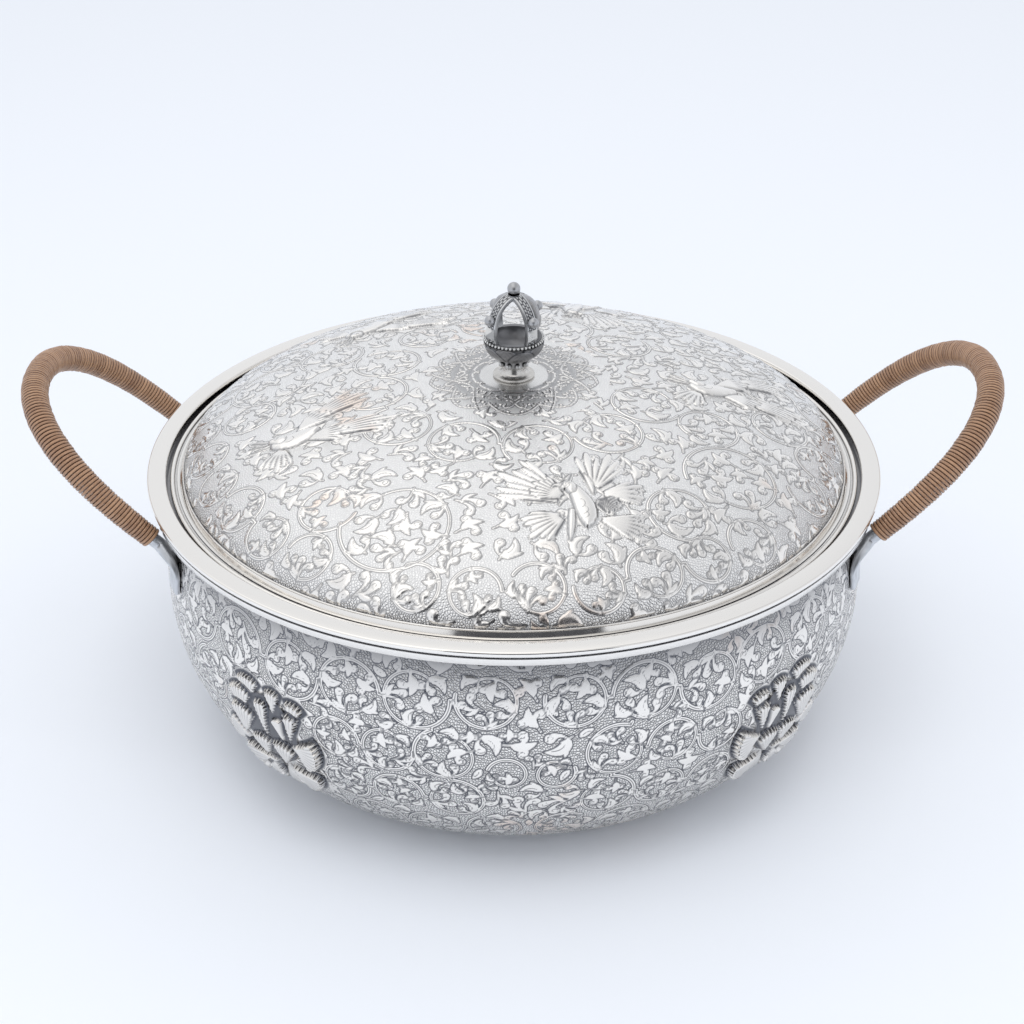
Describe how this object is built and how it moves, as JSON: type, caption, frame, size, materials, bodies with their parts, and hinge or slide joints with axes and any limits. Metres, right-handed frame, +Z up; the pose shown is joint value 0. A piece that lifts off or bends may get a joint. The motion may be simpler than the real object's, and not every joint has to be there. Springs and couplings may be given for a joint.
{
  "type": "lidded serving bowl",
  "caption": "Round silver serving bowl with a domed lift-off lid, an openwork crown knob, a stepped rim and cane-wound loop handles, embossed all over with scrolling vines, flowers and birds.",
  "frame": {"origin": "middle of the flat base, on the table", "axes": "+Z up, the handles along +X and -X, -Y towards the front of the picture"},
  "size_m": [0.3154, 0.24, 0.1524],
  "materials": {
    "embossed_silver": "satin silver with an embossed pattern and darkened recesses",
    "polished_silver": "polished silver",
    "oxidised_silver": "cast silver with oxidised recesses",
    "grey_silver": "forged and filed silver, unpolished",
    "cane": "split cane, wound tightly and varnished",
    "fixings": "plain turned metal"
  },
  "bodies": {
    "bowl": {"bowl_shell": "embossed_silver", "rim_ring": "polished_silver", "handle_left_core": "grey_silver", "handle_right_core": "grey_silver", "handle_left_wrap": "cane", "handle_right_wrap": "cane"},
    "lid": {"lid_dome": "embossed_silver", "lid_flange": "polished_silver", "knob_foot": "polished_silver", "knob_bead_collar": "oxidised_silver", "knob_cup": "oxidised_silver", "knob_cup_beads": "oxidised_silver", "knob_arches": "oxidised_silver", "knob_arch_pearls": "oxidised_silver", "knob_arch_studs": "polished_silver", "knob_top_ball": "oxidised_silver", "knob_stud": "fixings", "knob_washer": "fixings", "knob_nut": "fixings"}
  },
  "joints": [
    {"name": "lid_lift", "type": "slide", "parent": "bowl", "child": "lid", "axis": [0, 0, 1], "range_m": [0, 0.12]}
  ]
}
